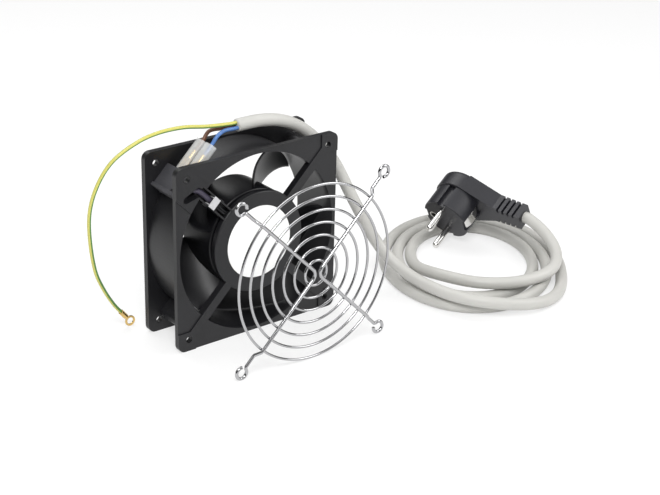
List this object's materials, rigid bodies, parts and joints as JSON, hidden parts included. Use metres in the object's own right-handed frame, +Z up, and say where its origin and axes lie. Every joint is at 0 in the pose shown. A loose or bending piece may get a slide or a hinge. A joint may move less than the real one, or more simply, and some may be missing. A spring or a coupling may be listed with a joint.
{
  "type": "enclosure fan",
  "caption": "Square axial enclosure fan with cast frame, external-rotor motor, blank hub label, loose wire finger guard and a coiled mains cord with an angled earthed plug",
  "frame": {"origin": "centre of the rear mounting face, on the fan's axis", "axes": "+Y out of the rear mounting face along the fan's axis, +Z up, +X to the right seen from the front"},
  "size_m": [0.3459, 0.1583, 0.1384],
  "materials": {
    "frame_black": "satin black paint over a die casting",
    "terminal_plastic": "moulded, matt",
    "tinned_brass": "tinned strip",
    "lead_insulation": "extruded",
    "sleeve_grey": "extruded",
    "clip_grey": "moulded",
    "label_white": "printed film, blank",
    "tube_brass": "turned",
    "race_steel": "ground",
    "ball_steel": "polished",
    "spring_steel": "spring temper",
    "lamination": "stacked sheet",
    "bobbin_nylon": "moulded",
    "copper": "enamelled wire",
    "impeller_black": "black, half gloss",
    "cup_steel": "deep drawn",
    "cage_alloy": "cast",
    "shaft_steel": "ground",
    "guard_chrome": "bright plated wire",
    "sleeve_clear": "soft, see-through",
    "receptacle_brass": "pressed strip",
    "core_brown": "extruded",
    "core_blue": "extruded",
    "core_green_yellow": "extruded, two colours",
    "cord_grey": "extruded sheath",
    "plug_black": "moulded",
    "pin_nickel": "plated"
  },
  "bodies": {
    "frame": {"housing": "frame_black", "terminal_block": "terminal_plastic", "terminal_tabs": "tinned_brass", "motor_leads": "lead_insulation", "lead_sleeve": "sleeve_grey", "lead_clip": "clip_grey", "hub_label": "label_white", "bearing_tube": "tube_brass", "bearing_outer_races": "race_steel", "preload_washer": "spring_steel", "stator_core": "lamination", "stator_bobbins": "bobbin_nylon", "stator_windings": "copper", "tab_sleeves": "sleeve_clear", "tab_receptacles": "receptacle_brass", "core_brown": "core_brown", "core_blue": "core_blue", "core_earth": "core_green_yellow", "earth_ring": "receptacle_brass", "cord_riser": "cord_grey", "cord_coil": "cord_grey", "cord_tail": "cord_grey", "plug_body": "plug_black", "plug_pins": "pin_nickel", "plug_earth_clips": "pin_nickel", "plug_earth_socket": "pin_nickel"},
    "rotor": {"impeller": "impeller_black", "rotor_cup": "cup_steel", "rotor_core": "lamination", "rotor_cage": "cage_alloy", "shaft": "shaft_steel", "shaft_circlip": "spring_steel", "bearing_inner_races": "race_steel", "bearing_balls": "ball_steel"},
    "guard": {"guard_rings": "guard_chrome", "guard_spoke_left": "guard_chrome", "guard_spoke_right": "guard_chrome"}
  },
  "joints": [
    {"name": "rotor_spin", "type": "hinge", "parent": "frame", "child": "rotor", "pos_m": [0, -0.019, 0], "axis": [0, 1, 0], "continuous": true},
    {"name": "guard_slide", "type": "slide", "parent": "frame", "child": "guard", "axis": [-0.0986, 0.9931, 0.0629], "range_m": [0, 0.04768]}
  ]
}
